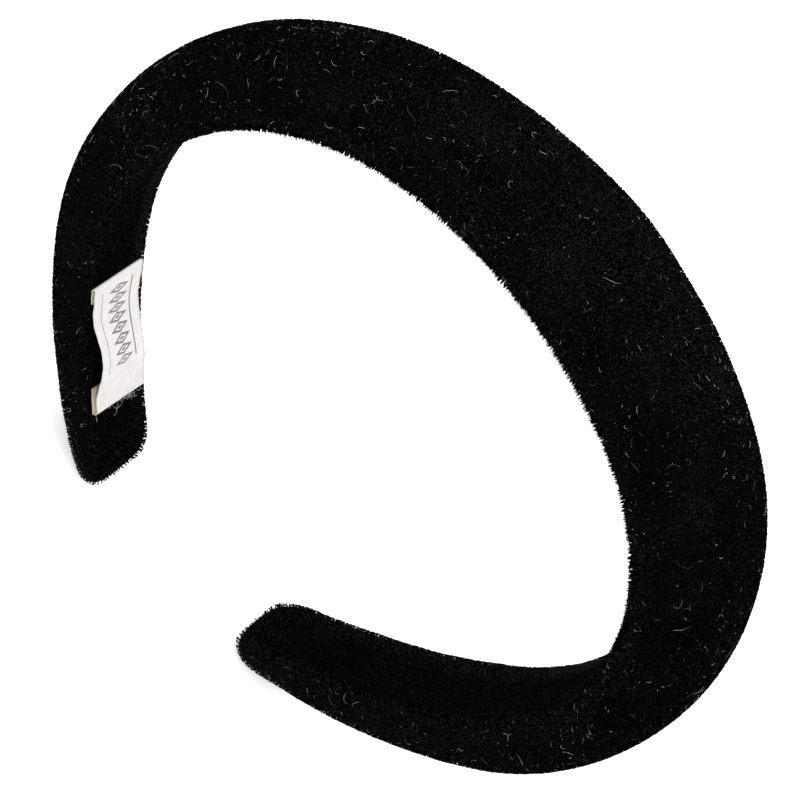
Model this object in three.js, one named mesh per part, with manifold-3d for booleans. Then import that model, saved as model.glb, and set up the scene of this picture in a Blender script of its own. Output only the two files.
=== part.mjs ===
// Padded velvet headband, worn upright: +Z up, +X to the wearer's left, the forehead side towards -Y.
// Millimetres. It stands on its two tips at z = 0. Every layer is a strip lofted along one line, the
// head-side line, which runs from the crown down both arms: s is the distance along it from the crown
// (positive down the left arm), y is across the band and r is the height outwards from the head.
import * as THREE from 'three';
import { mergeVertices } from 'three/addons/utils/BufferGeometryUtils.js';
import Module from 'manifold-3d';

const wasm = await Module();
wasm.setup();

const DEGREE = Math.PI / 180;

// The head-side line: three arcs that meet smoothly, from the middle of the crown to a tip.
const CROWN_ARC = { radius: 83, turn: 20.5 * DEGREE };
const SHOULDER_ARC = { radius: 58.4, turn: 98.4 * DEGREE };
const ARM_ARC = { radius: 142, turn: 24.4 * DEGREE };
const TIP_SWAY = 2; // how far each soft arm leans out of plane at its tip, the two in opposite directions

// The padded section: its width and height at the crown and at the tips, and how late each tapers.
const CROWN_WIDTH = 29;
const TIP_WIDTH = 21.5;
const WIDTH_TAPER_POWER = 5;
const CROWN_HEIGHT = 25;
const TIP_HEIGHT = 7;
const HEIGHT_TAPER_POWER = 1.12;
const LEFT_WIDER = 0.1; // the padding isn't even: a share more on the left shoulder, less on the right
const LEFT_TALLER = 0.045;
const FLAT_SHARE = 0.64; // how much of the width lies flat against the head
const WIDEST_SHARE = 0.46; // how high up the padding the section is widest
const TIP_ROUNDING = 6; // the length over which each tip is rounded off
const TIP_END_WIDTH_SHARE = 0.6; // how much of the width is left at the blunt end of the tip
const TIP_END_HEIGHT_SHARE = 0.55;
const FOOT_PRESS = 0.9; // how far the soft tip flattens where it stands

// The layers, from the head outwards.
const CLEARANCE = 0.3; // between pieces that touch
const LINING_THICKNESS = 0.9;
const COVER_THICKNESS = 1.2;
const CORE_THICKNESS = 1.8;
const COVER_SLOT_WIDTH = 7; // between the turned-in edges of the cover
const COVER_LIP = 2; // how far the slot stops short of the lining's end, so the lining closes it
const CORE_INSET = 1.6; // how far the core stops short of the flat's edges
const LINING_INSET = 0.7;
const CORE_TO_TIP = 5;
const LINING_TO_TIP = 8;
const THINNEST_FOAM = 1.2;

// The woven label on the head side of the right arm, its ends folded under.
const LABEL_LENGTH = 32.5;
const LABEL_WIDTH = 16;
const LABEL_TO_TIP = 17.7;
const LABEL_PLY = 0.4;
const LABEL_FOLD = 6;
const LABEL_BOW = 2.3; // how far it buckles away from the lining
const LABEL_BOW_SKEW = 0.6; // under 1, this brings the highest point of the bow nearer the tip

// The two flex zones, where the arms hinge on the core when the band is spread.
const FLEX_TURN = 45 * DEGREE; // how far the line has turned from the crown to the hinge
const OPENING_ROOM = 21 * DEGREE;
const CLOSING_ROOM = 6 * DEGREE;

// Facets.
const STATION_STEP = 6;
const CORNER_STEPS = 4;
const DOME_STEPS = 7;
const FOAM_STEPS = 7;
const TIP_STEPS = [0.45, 0.8, 0.95];

const ARCS = [CROWN_ARC, SHOULDER_ARC, ARM_ARC];
const HALF_LENGTH = ARCS.reduce((sum, arc) => sum + arc.radius * arc.turn, 0);
const COVER_BASE = LINING_THICKNESS + CLEARANCE;
const CORE_BASE = COVER_BASE + COVER_THICKNESS + CLEARANCE;
const FOAM_BASE = CORE_BASE + CORE_THICKNESS + CLEARANCE;
const HINGE_R = CORE_BASE + CORE_THICKNESS / 2;
const HINGE_S = CROWN_ARC.radius * CROWN_ARC.turn
  + SHOULDER_ARC.radius * (FLEX_TURN - CROWN_ARC.turn);

const velvet = new THREE.MeshStandardMaterial({ color: 0x0b0a0b, roughness: 0.95 });
const lining = new THREE.MeshStandardMaterial({ color: 0x121112, roughness: 0.95 });
const foam = new THREE.MeshStandardMaterial({ color: 0xd9d4c6, roughness: 0.9 });
const plastic = new THREE.MeshStandardMaterial({ color: 0x1b1b1c, roughness: 0.5 });
const ribbon = new THREE.MeshStandardMaterial({ color: 0xe6e2df, roughness: 0.6 });

// The point of the band at s along the line, y across it and r outwards from the head.
function place(s, y, r) {
  let left = Math.abs(s);
  let angle = 0;
  let x = 0;
  let z = 0;
  for (const { radius, turn } of ARCS) {
    const step = Math.min(left / radius, turn);
    x += radius * (Math.sin(angle + step) - Math.sin(angle));
    z += radius * (Math.cos(angle + step) - Math.cos(angle));
    angle += step;
    left -= step * radius;
  }
  x += left * Math.cos(angle) + r * Math.sin(angle);
  z += r * Math.cos(angle) - left * Math.sin(angle);
  const sway = Math.sign(s) * TIP_SWAY * (s / HALF_LENGTH) ** 2;
  return new THREE.Vector3(Math.sign(s) * x, y + sway, z);
}

// How much of the full section is left at s, from 1 down to 0 at the very tip.
function tipFullness(s) {
  const past = (Math.abs(s) - (HALF_LENGTH - TIP_ROUNDING)) / TIP_ROUNDING;
  return Math.sqrt(1 - THREE.MathUtils.clamp(past, 0, 1) ** 2);
}

function taper(atCrown, atTip, power, s) {
  const along = Math.min(Math.abs(s) / HALF_LENGTH, 1);
  return atTip + (atCrown - atTip) * (1 - along ** power);
}

// From -1 at the right shoulder to 1 at the left one, and 0 at the crown and both tips.
const leftward = (s) => Math.sin(Math.PI * THREE.MathUtils.clamp(s / HALF_LENGTH, -1, 1));
const evenWidth = (s) => taper(CROWN_WIDTH, TIP_WIDTH, WIDTH_TAPER_POWER, s);
const evenHeight = (s) => taper(CROWN_HEIGHT, TIP_HEIGHT, HEIGHT_TAPER_POWER, s);
const fullWidth = (s) => evenWidth(s) * (1 + LEFT_WIDER * leftward(s));
const fullHeight = (s) => evenHeight(s) * (1 + LEFT_TALLER * leftward(s));
const flatHalf = (s) => (FLAT_SHARE * fullWidth(s)) / 2;

// A padded section: a flat base, two rolled lower corners and a dome over them, counterclockwise.
function paddedOutline(base, flat, side, widest, top) {
  const half = [];
  for (let i = 0; i <= CORNER_STEPS; i += 1) {
    const a = (Math.PI / 2) * (i / CORNER_STEPS);
    half.push([flat + (side - flat) * Math.sin(a), widest - (widest - base) * Math.cos(a)]);
  }
  for (let i = 1; i <= DOME_STEPS; i += 1) {
    const a = (Math.PI / 2) * (i / DOME_STEPS);
    half.push([side * Math.cos(a), widest + (top - widest) * Math.sin(a)]);
  }
  const back = half.slice(0, -1).reverse().map(([y, r]) => [-y, r]);
  return [...half, ...back];
}

// A strip's section, centred across the band.
const rectangle = (half, low, high) => [[-half, low], [half, low], [half, high], [-half, high]];

// The cover's outside at s, or a shell of the same shape a given depth further in.
function coverOutline(s, depth = 0) {
  const full = tipFullness(s);
  const width = fullWidth(s) * THREE.MathUtils.lerp(TIP_END_WIDTH_SHARE, 1, full);
  const height = fullHeight(s) * THREE.MathUtils.lerp(TIP_END_HEIGHT_SHARE, 1, full);
  const lift = (fullHeight(s) - height) / 2;
  const base = COVER_BASE + lift;
  const top = lift + height;
  const widest = base + WIDEST_SHARE * (top - base);
  return paddedOutline(base + depth, (FLAT_SHARE * width) / 2, width / 2 - depth, widest, top - depth);
}

// The foam fills the cover above the core: the cover's shape again, cut flat where the core lies.
function foamOutline(s) {
  const inset = COVER_THICKNESS + CLEARANCE;
  const low = COVER_BASE + inset;
  const top = fullHeight(s) - inset;
  const side = fullWidth(s) / 2 - inset;
  const widest = COVER_BASE + WIDEST_SHARE * (fullHeight(s) - COVER_BASE);
  const flat = flatHalf(s);
  const half = [];
  for (let i = 0; i <= FOAM_STEPS; i += 1) {
    const r = FOAM_BASE + (top - FOAM_BASE) * Math.sin((Math.PI / 2) * (i / FOAM_STEPS));
    const from = r < widest ? (widest - r) / (widest - low) : (r - widest) / (top - widest);
    const round = Math.sqrt(Math.max(1 - from ** 2, 0));
    half.push([r < widest ? flat + (side - flat) * round : side * round, r]);
  }
  const back = half.slice(0, -1).reverse().map(([y, r]) => [-y, r]);
  return [...half, ...back];
}

// The core's section at s, or the room that it needs with a clearance all round.
function coreOutline(s, clearance = 0) {
  const half = flatHalf(s) - CORE_INSET + clearance;
  return rectangle(half, CORE_BASE - clearance, CORE_BASE + CORE_THICKNESS + clearance);
}

// Distances along the line for the rings between two ends, on one grid that all the layers share.
function stationsBetween(from, to) {
  const stations = [];
  for (let s = Math.ceil(from / STATION_STEP) * STATION_STEP; s < to; s += STATION_STEP) {
    stations.push(s);
  }
  for (const share of [0, ...TIP_STEPS]) {
    const s = HALF_LENGTH - TIP_ROUNDING * (1 - share);
    stations.push(s, -s);
  }
  const room = STATION_STEP / 4;
  return stations
    .filter((s) => s > from + room && s < to - room)
    .sort((a, b) => a - b)
    .filter((s, i, all) => i === 0 || s - all[i - 1] > room / 4);
}

// One ring of an outline whose distance along the line is end(r), so that an end can be cut aslant.
function ringAt(outlineAt, end) {
  return outlineAt(end(0)).map((_, k) => {
    let s = end(0);
    for (let pass = 0; pass < 4; pass += 1) {
      s = end(outlineAt(s)[k][1]);
    }
    const [y, r] = outlineAt(s)[k];
    return place(s, y, r);
  });
}

// A closed solid through an outline's rings between two ends, each a function of r.
function loft(outlineAt, from, to) {
  const reach = [0, CROWN_HEIGHT];
  const lowest = Math.max(...reach.map(from));
  const highest = Math.min(...reach.map(to));
  const inner = stationsBetween(lowest, highest).map((s) => ringAt(outlineAt, () => s));
  const rings = [ringAt(outlineAt, from), ...inner, ringAt(outlineAt, to)];
  const count = rings[0].length;
  const index = [];
  for (let j = 0; j < rings.length - 1; j += 1) {
    for (let i = 0; i < count; i += 1) {
      const a = j * count + i;
      const b = j * count + ((i + 1) % count);
      index.push(a, b, b + count, a, b + count, a + count);
    }
  }
  const flat = outlineAt(lowest).map(([y, r]) => new THREE.Vector2(y, r));
  const last = (rings.length - 1) * count;
  for (const [a, b, c] of THREE.ShapeUtils.triangulateShape(flat, [])) {
    index.push(a, c, b, last + a, last + b, last + c);
  }
  const geometry = new THREE.BufferGeometry();
  const points = rings.flat().flatMap((p) => [p.x, p.y, p.z]);
  geometry.setAttribute('position', new THREE.Float32BufferAttribute(points, 3));
  geometry.setIndex(index);
  return geometry;
}

function toManifold(geometry) {
  const bare = geometry.clone();
  bare.deleteAttribute('normal');
  bare.deleteAttribute('uv');
  const merged = mergeVertices(bare, 1e-4);
  return new wasm.Manifold(new wasm.Mesh({
    numProp: 3,
    vertProperties: new Float32Array(merged.attributes.position.array),
    triVerts: new Uint32Array(merged.index.array),
  }));
}

function toGeometry(solid) {
  const { vertProperties, triVerts } = solid.getMesh();
  const geometry = new THREE.BufferGeometry();
  geometry.setAttribute('position', new THREE.BufferAttribute(new Float32Array(vertProperties), 3));
  geometry.setIndex(new THREE.BufferAttribute(new Uint32Array(triVerts), 1));
  return geometry;
}

// How far a piece stops short of the hinge at height r: a wedge outside it for opening the band,
// and a smaller wedge inside it for closing.
function hingeRoom(r) {
  const along = SHOULDER_ARC.radius / (SHOULDER_ARC.radius + r);
  const opening = Math.max(r - HINGE_R, 0) * Math.tan(OPENING_ROOM / 2);
  const closing = Math.max(HINGE_R - r, 0) * Math.tan(CLOSING_ROOM / 2);
  return CLEARANCE + along * (opening + closing);
}

// The stretch of the line that each rigid part of the band takes, as a pair of ends. endGap is how
// far that layer stops before the tip, and past lets a cutter run on through the hinge end.
const SECTIONS = {
  crown: (endGap, past = 0) => [
    (r) => -HINGE_S + hingeRoom(r) - past,
    (r) => HINGE_S - hingeRoom(r) + past,
  ],
  left_arm: (endGap, past = 0) => [
    (r) => HINGE_S + hingeRoom(r) - past,
    () => HALF_LENGTH - endGap,
  ],
  right_arm: (endGap, past = 0) => [
    () => endGap - HALF_LENGTH,
    (r) => -HINGE_S - hingeRoom(r) + past,
  ],
};

function coverGeometry(ends) {
  const outside = toManifold(loft(coverOutline, ...ends(0)));
  const inside = toManifold(loft(
    (s) => coverOutline(s, COVER_THICKNESS),
    ...ends(CORE_TO_TIP - CLEARANCE, STATION_STEP),
  ));
  const coreRoom = toManifold(loft(
    (s) => coreOutline(s, CLEARANCE),
    ...ends(CORE_TO_TIP - CLEARANCE, STATION_STEP),
  ));
  const slot = toManifold(loft(
    () => rectangle(COVER_SLOT_WIDTH / 2, 0, CORE_BASE),
    ...ends(LINING_TO_TIP + COVER_LIP, STATION_STEP),
  ));
  return outside.subtract(inside).subtract(coreRoom).subtract(slot);
}

// Where the foam gets too thin to be worth cutting, near the tips.
function foamToTip() {
  let gap = 0;
  const wanted = FOAM_BASE + THINNEST_FOAM + COVER_THICKNESS + CLEARANCE;
  while (Math.min(fullHeight(HALF_LENGTH - gap), fullHeight(gap - HALF_LENGTH)) < wanted) {
    gap += 0.5;
  }
  return gap;
}

function labelOutline(s) {
  const fromEnd = HALF_LENGTH - LABEL_TO_TIP - Math.abs(s);
  const inFold = fromEnd < LABEL_FOLD || fromEnd > LABEL_LENGTH - LABEL_FOLD;
  const across = THREE.MathUtils.clamp((fromEnd - LABEL_FOLD) / (LABEL_LENGTH - 2 * LABEL_FOLD), 0, 1);
  const bow = LABEL_BOW * Math.sin(Math.PI * across ** LABEL_BOW_SKEW) ** 2;
  const plies = inFold ? 2 : 1;
  const high = -CLEARANCE - bow;
  return rectangle(LABEL_WIDTH / 2, high - plies * LABEL_PLY, high);
}

const group = new THREE.Group();

function addMesh(name, geometry, material) {
  const mesh = new THREE.Mesh(geometry, material);
  mesh.name = name;
  group.add(mesh);
}

// The tips are flattened where they stand, at one height on both arms.
const covers = Object.entries(SECTIONS).map(([name, ends]) => [name, coverGeometry(ends)]);
const lowest = Math.min(...covers.map(([, solid]) => solid.boundingBox().min[2]));
const footZ = lowest + FOOT_PRESS;
const floorBlock = new THREE.BoxGeometry(4 * HALF_LENGTH, 4 * CROWN_WIDTH, 2 * CROWN_HEIGHT);
floorBlock.translate(0, 0, footZ - CROWN_HEIGHT);
const underFloor = toManifold(floorBlock);

for (const [name, solid] of covers) {
  addMesh(`velvet_cover_${name}`, toGeometry(solid.subtract(underFloor)), velvet);
}

for (const [name, ends] of Object.entries(SECTIONS)) {
  const strip = (s) => rectangle(flatHalf(s) - LINING_INSET, 0, LINING_THICKNESS);
  addMesh(`core_band_${name}`, loft((s) => coreOutline(s), ...ends(CORE_TO_TIP)), plastic);
  addMesh(`foam_pad_${name}`, loft(foamOutline, ...ends(foamToTip())), foam);
  addMesh(`inner_lining_${name}`, loft(strip, ...ends(LINING_TO_TIP)), lining);
}

const labelEnds = [
  () => LABEL_TO_TIP - HALF_LENGTH,
  () => LABEL_TO_TIP + LABEL_LENGTH - HALF_LENGTH,
];
addMesh('woven_label', loft(labelOutline, ...labelEnds), ribbon);

group.position.z = -footZ;

export default group;
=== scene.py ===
"""The looks of a padded velvet headband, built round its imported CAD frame.

The frame's row is in metres. Lengths here are in millimetres, as the band's own sizes are, and
place() turns them into metres. s runs along the band's line, from the middle of the crown (0) to
the wearer's left tip (+HALF_LENGTH) or right tip (-HALF_LENGTH), y runs across the band, r runs
outwards from the head, and w runs round the cloth from the line along the top of the padding.
"""

import math

import bpy
import numpy as np
from mathutils import Matrix, Vector, noise


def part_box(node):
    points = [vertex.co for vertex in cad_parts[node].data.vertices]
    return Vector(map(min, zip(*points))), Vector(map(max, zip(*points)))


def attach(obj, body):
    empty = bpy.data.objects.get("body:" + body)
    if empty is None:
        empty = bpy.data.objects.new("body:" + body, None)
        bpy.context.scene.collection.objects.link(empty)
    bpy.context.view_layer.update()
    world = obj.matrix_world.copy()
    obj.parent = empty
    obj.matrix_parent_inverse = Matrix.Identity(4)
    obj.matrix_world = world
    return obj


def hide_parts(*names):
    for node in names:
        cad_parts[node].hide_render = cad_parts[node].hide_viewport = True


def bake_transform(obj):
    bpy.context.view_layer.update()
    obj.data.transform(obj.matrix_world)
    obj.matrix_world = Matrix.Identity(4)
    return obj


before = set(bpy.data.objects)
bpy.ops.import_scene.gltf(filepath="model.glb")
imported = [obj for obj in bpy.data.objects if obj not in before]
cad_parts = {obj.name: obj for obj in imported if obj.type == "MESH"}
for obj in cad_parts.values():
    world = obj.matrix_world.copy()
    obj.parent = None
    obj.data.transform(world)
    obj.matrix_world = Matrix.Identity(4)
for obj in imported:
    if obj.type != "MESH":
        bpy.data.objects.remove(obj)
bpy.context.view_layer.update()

MM = 0.001

# The band's line, as arcs of (radius, turn), and its section. These are the CAD part's own sizes.
ARCS = ((83.0, math.radians(20.5)), (58.4, math.radians(98.4)), (142.0, math.radians(24.4)))
HALF_LENGTH = sum(radius * turn for radius, turn in ARCS)
TIP_SWAY = 2.0
CROWN_WIDTH = 29.0
TIP_WIDTH = 21.5
WIDTH_TAPER_POWER = 5
CROWN_HEIGHT = 25.0
TIP_HEIGHT = 7.0
HEIGHT_TAPER_POWER = 1.12
LEFT_WIDER = 0.1
LEFT_TALLER = 0.045
FLAT_SHARE = 0.64
WIDEST_SHARE = 0.46
TIP_ROUNDING = 6.0
RIGHT_TIP = (TIP_ROUNDING, 0.6)  # how far from the end it is rounded, and the end's share of width
LEFT_TIP = (7.5, 0.5)  # worn rounder than the CAD's, which is the same as the right one
TIP_END_HEIGHT_SHARE = 0.55
LINING_THICKNESS = 0.9
LINING_LOW = 0.85
LINING_HIGH = 1.6
LINING_PILE = 0.5
COVER_BASE = 1.2
COVER_THICKNESS = 1.2
CORE_LOW = 2.7
CORE_HIGH = 4.5
FOAM_BASE = 4.8
CORE_INSET = 1.6
LINING_INSET = 0.7
CORE_TO_TIP = 5.0
LINING_TO_TIP = 8.0
FOAM_TO_TIP = 12.0
CROWN_LINE_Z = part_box("inner_lining_crown")[1].z / MM - LINING_THICKNESS

# The velvet.
PILE = 0.65  # how long the pile is
SINK = 0.62  # how far the woven ground lies inside the CAD outline, which the pile then fills
FLAT_SINK = 0.5  # the same on the flat side, round the lining
PAINTED_SHEEN_SIDES = 0.15  # the share of tufts whose sides are painted pale everywhere, a painted sheen
PITCH = 0.52  # between two rows of pile, along and across
FOOT_GROUND = 0.3  # how high over the floor the woven ground stays where the tips stand on it
PADDING_PRESSURE = 4000.0  # of the padding on the cloth in the simulation
SWELL = 0.8  # the most that the padding may push the cloth out in the simulation
UNEVENNESS = ((0.28, 45), (0.12, 140))  # swells of the padding: how high, and how many to a metre
VELVET_TINT = (0.85, 0.83, 0.84, 1)
TUFT_ROOT = 0.15  # how far a tuft's root goes into the ground
TUFT_WIDTHS = (0.17, 0.23)  # from the middle of a splayed tuft's top to its corners
LINING_TUFT_WIDTHS = (0.2, 0.27)
SPIKE_WIDTH = 0.19  # the same at the root of a spike
SPIKE_TIP = 0.12  # how much higher than a splayed tuft a spike ends
PILE_OVER_FLOOR = 0.05  # the pile that the band stands on is pressed flat this far over the floor

# Where the velvet's pile is painted paler or darker, as painted light, shade and sheen, or where its
# tufts stand otherwise:
# the middle and the width of each place, along the band, round it, or up from the edge of its flat
# side.
TOP_ROUND = (5, 12)
FOLD_UP = (2.6, 3.0)
FOLD_END = 95
# painted light along the top of the crown
PAINTED_LIGHT_CROWN_ALONG = (-8, 45)
# painted shade on the left shoulder
PAINTED_SHADE_SHOULDER_ALONG = (85, 40)
# the low edge, where more tufts get pale sides as a painted sheen
LOW_EDGE_UP = (3.5, 4)
# painted light on the back low edge of the cover, and below it of the lining
PAINTED_LIGHT_BACK_ALONG = (90, 38)
PAINTED_LIGHT_LINING_ALONG = (92, 36)

# The ribbon label.
LABEL_LENGTH = 32.5
LABEL_WIDTH = 16.0
LABEL_TO_TIP = 17.7
LABEL_CROWN_FOLD = 4.0  # how much is folded under at its end towards the crown
LABEL_TIP_FOLD = 6.5  # and at its end towards the tip
LABEL_CROWN_SKEW = 0.5  # how far each folded end shows beyond the label's front edge
LABEL_TIP_SKEW = 0.9
LABEL_SWING = 1.3  # how far its tip end lies further back than its crown end
LABEL_SHEAR = 1.0  # how much nearer to the tip its back edge lies than its front edge
LABEL_BOW = 2.7
LABEL_BOW_FROM = 0.16  # where along its front edge it leaves the lining
LABEL_BOW_LATER = 0.24  # how much further on its back edge leaves the lining
LABEL_BOW_TO = 0.94  # where along its face it is back on the lining
LABEL_BOW_LOSS = 0.72  # how much lower it rises at its back edge
LABEL_BOW_SKEW = 1.15  # over 1, this brings the highest point nearer the tip
LABEL_DENT = 0.6  # how far its back edge is pressed into the pile where it lies flat
LABEL_PLY = 0.22
LABEL_WAVE = (0.12, 0.55)  # its edges aren't quite straight: how far and how often they wander
LABEL_RIPPLE = (0.05, 1.7)  # the same for the small ripples of its edges off the lining
FOLD_POINTS = 8  # points along the flat of a folded end
ORNAMENT_ROWS = 8
ORNAMENT_PITCH = 2.6
ORNAMENT_MIDDLE = 8.2
ORNAMENT_LENGTHENING = 0.36  # under 1, this makes the lozenges longer across the ribbon
ORNAMENT_RULES = ((2.6, 0.1), (12.6, 0.22))  # where each rule runs, and half its width
LABEL_Y = -0.1
LABEL_UNDER = -0.25  # how far its folded ends lie off the lining: they are pressed into the pile

SIDES = {"left": 1, "right": -1}
LINT_COUNT = 1500
LINT_OVER_FLOOR = 0.1
PILE_SEED = 11
LINING_PILE_SEED = 31
LINT_SEED = 71
THREADS_SEED = 5


# -------------------- the band's line and sections

def place(s, y, r):
    """Points of the band in metres, from s, y and r in millimetres."""
    s, y, r = (np.array(a, float) for a in np.broadcast_arrays(s, y, r))
    left = np.abs(s)
    angle = np.zeros_like(s)
    x = np.zeros_like(s)
    z = np.full_like(s, CROWN_LINE_Z)
    for radius, turn in ARCS:
        step = np.minimum(left / radius, turn)
        x += radius * (np.sin(angle + step) - np.sin(angle))
        z += radius * (np.cos(angle + step) - np.cos(angle))
        angle = angle + step
        left = left - step * radius
    x += left * np.cos(angle) + r * np.sin(angle)
    z += r * np.cos(angle) - left * np.sin(angle)
    sway = np.sign(s) * TIP_SWAY * (s / HALF_LENGTH) ** 2
    return np.stack([np.sign(s) * x, y + sway, z], axis=-1) * MM


def taper(at_crown, at_tip, power, s):
    along = min(abs(s) / HALF_LENGTH, 1)
    return at_tip + (at_crown - at_tip) * (1 - along ** power)


def leftward(s):
    return math.sin(math.pi * min(max(s / HALF_LENGTH, -1), 1))


def full_width(s):
    return taper(CROWN_WIDTH, TIP_WIDTH, WIDTH_TAPER_POWER, s) * (1 + LEFT_WIDER * leftward(s))


def full_height(s):
    return taper(CROWN_HEIGHT, TIP_HEIGHT, HEIGHT_TAPER_POWER, s) * (1 + LEFT_TALLER * leftward(s))


def flat_half(s):
    return FLAT_SHARE * full_width(s) / 2


def half_outline(s, inset):
    """Half of the cover's section at s, from the middle of its flat side round to its top."""
    rounding, end_share = (LEFT_TIP if s > 0 else RIGHT_TIP)
    past = min(max((abs(s) - (HALF_LENGTH - rounding)) / rounding, 0), 1)
    full = math.sqrt(1 - past ** 2)
    width = full_width(s) * (end_share + (1 - end_share) * full)
    height = full_height(s) * (TIP_END_HEIGHT_SHARE + (1 - TIP_END_HEIGHT_SHARE) * full)
    lift = (full_height(s) - height) / 2
    base = COVER_BASE + lift
    top = lift + height
    widest = base + WIDEST_SHARE * (top - base)
    flat = FLAT_SHARE * width / 2
    side = width / 2 - inset
    corner = np.linspace(0, math.pi / 2, 40)
    dome = np.linspace(0, math.pi / 2, 60)[1:]
    y = [[0], flat + (side - flat) * np.sin(corner), side * np.cos(dome)]
    low = base + min(inset, FLAT_SINK) + max(inset - SINK, 0)
    r = [[low], widest - (widest - low) * np.cos(corner),
         widest + (top - inset - widest) * np.sin(dome)]
    return np.concatenate(y), np.concatenate(r)


def evenly(y, r, count):
    """A line through the same points with evenly spaced ones, and its length."""
    reach = np.concatenate([[0], np.cumsum(np.hypot(np.diff(y), np.diff(r)))])
    wanted = np.linspace(0, reach[-1], count)
    return np.interp(wanted, reach, y), np.interp(wanted, reach, r), reach[-1]


def padded_ring(s, inset, around):
    """The whole section at s as around + 1 points, the first and last of them the same."""
    y, r, length = evenly(*half_outline(s, inset), around // 2 + 1)
    return np.concatenate([y, -y[-2::-1]]), np.concatenate([r, r[-2::-1]]), length


# -------------------- the cloth as a grid of points

AROUND = 96
CAP_SHARES = (0.82, 0.55, 0.25)
CAP_BULGES = (0.35, 0.55, 0.62)


def cloth_grid():
    """The velvet's ground from tip to tip: rings of points, each ring's s and half its length."""
    half = np.concatenate([
        np.arange(0, HALF_LENGTH - LEFT_TIP[0] - 0.7, 1.5),
        HALF_LENGTH - LEFT_TIP[0] * (1 - np.sin(np.linspace(0, math.pi / 2, 11))),
    ])
    along = np.concatenate([-half[:0:-1], half])
    rings = []
    reach = []
    for s in along:
        y, r, length = padded_ring(s, SINK, AROUND)
        rings.append(place(s, y, r))
        reach.append(length)
    return {"s": along, "points": np.array(rings), "reach": np.array(reach)}


def unevenness(grid):
    """Hand-stuffed padding isn't quite even: low, soft swells of a few tenths of a millimetre."""
    shape = grid["points"].shape[:2]
    swell = np.zeros(shape)
    for j in range(shape[0]):
        for i in range(shape[1]):
            p = Vector(grid["points"][j, i])
            swell[j, i] = sum(high * noise.noise(p * often) for high, often in UNEVENNESS)
    swell[:, -1] = swell[:, 0]
    fade = np.clip((HALF_LENGTH - np.abs(grid["s"])) / 12, 0, 1)[:, None]
    grid["points"] = grid["points"] + grid_normals(grid) * (swell * fade * MM)[..., None]


def grid_normals(grid):
    """Outward unit normals of the grid's points."""
    p = grid["points"]
    along = np.gradient(p, axis=0)
    ring = np.concatenate([p[:, -2:-1], p, p[:, 1:2]], axis=1)
    around = ring[:, 2:] - ring[:, :-2]
    normal = np.cross(along, around)
    normal /= np.linalg.norm(normal, axis=-1, keepdims=True)
    outwards = p - p[:, :-1].mean(axis=1, keepdims=True)
    return normal * np.sign((normal * outwards).sum(axis=-1, keepdims=True).mean())


def on_cloth(grid, s, w):
    """Points of the cloth at s along it and w round it, with the outward normal there, the
    direction along the band and the direction round it."""
    column = np.clip(np.searchsorted(grid["s"], s) - 1, 0, len(grid["s"]) - 2)
    low, high = grid["s"][column], grid["s"][column + 1]
    a = np.clip((s - low) / (high - low), 0, 1)[:, None]
    found = []
    for j in (column, column + 1):
        share = np.clip(0.5 + w / (2 * grid["reach"][j]), 0, 1) * AROUND
        i = np.minimum(share.astype(int), AROUND - 1)
        b = (share - i)[:, None]
        found.append([g[j, i] * (1 - b) + g[j, i + 1] * b for g in (grid["points"], grid["normals"])])
        found[-1].append(grid["points"][j, i + 1] - grid["points"][j, i])
    point, normal, around = (f * (1 - a) + g * a for f, g in zip(*found))
    along = found[1][0] - found[0][0]
    return point, unit(normal), unit(along), unit(around)


def unit(v):
    return v / np.maximum(np.linalg.norm(v, axis=-1, keepdims=True), 1e-12)


# -------------------- meshes

def keep_above(points, height):
    """Points lower than this many millimetres over the floor are raised to it."""
    points[..., 2] = np.maximum(points[..., 2], height * MM)


def corner_vertices(mesh):
    """The vertex at each corner of each face."""
    vertex = np.zeros(len(mesh.loops), int)
    mesh.loops.foreach_get("vertex_index", vertex)
    return vertex


def new_mesh(name, points, faces, materials, smooth=True):
    """A mesh object in the row frame, from points in metres and faces."""
    mesh = bpy.data.meshes.new(name)
    mesh.from_pydata(np.asarray(points).reshape(-1, 3), [], faces)
    for material in materials:
        mesh.materials.append(material)
    mesh.polygons.foreach_set("use_smooth", np.full(len(mesh.polygons), smooth))
    mesh.update()
    piece = bpy.data.objects.new(name, mesh)
    bpy.context.scene.collection.objects.link(piece)
    return piece


def tube_faces(rows, around, flip=False):
    """Quads between the rings of a tube whose rings don't repeat their first point."""
    faces = []
    for j in range(rows - 1):
        for i in range(around):
            k = (i + 1) % around
            quad = (j * around + i, j * around + k, (j + 1) * around + k, (j + 1) * around + i)
            faces.append(quad[::-1] if flip else quad)
    return faces


# -------------------- materials

def node_material(name, **sockets):
    """A material with one Principled shader, whose named sockets take these values."""
    material = bpy.data.materials.new(name)
    material.use_nodes = True
    shader = material.node_tree.nodes["Principled BSDF"]
    for key, value in sockets.items():
        shader.inputs[key.replace("_", " ")].default_value = value
    return material, material.node_tree, shader


def add_node(tree, kind, links=(), **settings):
    """A node with its settings, and its inputs linked to sockets or set to values."""
    node = tree.nodes.new(kind)
    for key, value in settings.items():
        setattr(node, key, value)
    for key, value in dict(links).items():
        if isinstance(value, bpy.types.NodeSocket):
            tree.links.new(value, node.inputs[key])
        else:
            node.inputs[key].default_value = value
    return node


def math_node(tree, operation, a, b=0.0):
    return add_node(tree, "ShaderNodeMath", {0: a, 1: b}, operation=operation).outputs[0]


def mixed_colour(tree, factor, a, b):
    node = add_node(tree, "ShaderNodeMix", {0: factor, 6: a, 7: b}, data_type="RGBA")
    return node.outputs[2]


def noise_value(tree, scale, detail=2.0, roughness=0.5):
    """A soft pattern from 0 to 1, scale times a metre."""
    where = add_node(tree, "ShaderNodeTexCoord").outputs["Object"]
    node = add_node(tree, "ShaderNodeTexNoise",
                    {"Vector": where, "Scale": scale, "Detail": detail, "Roughness": roughness})
    return node.outputs["Fac"]


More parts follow.
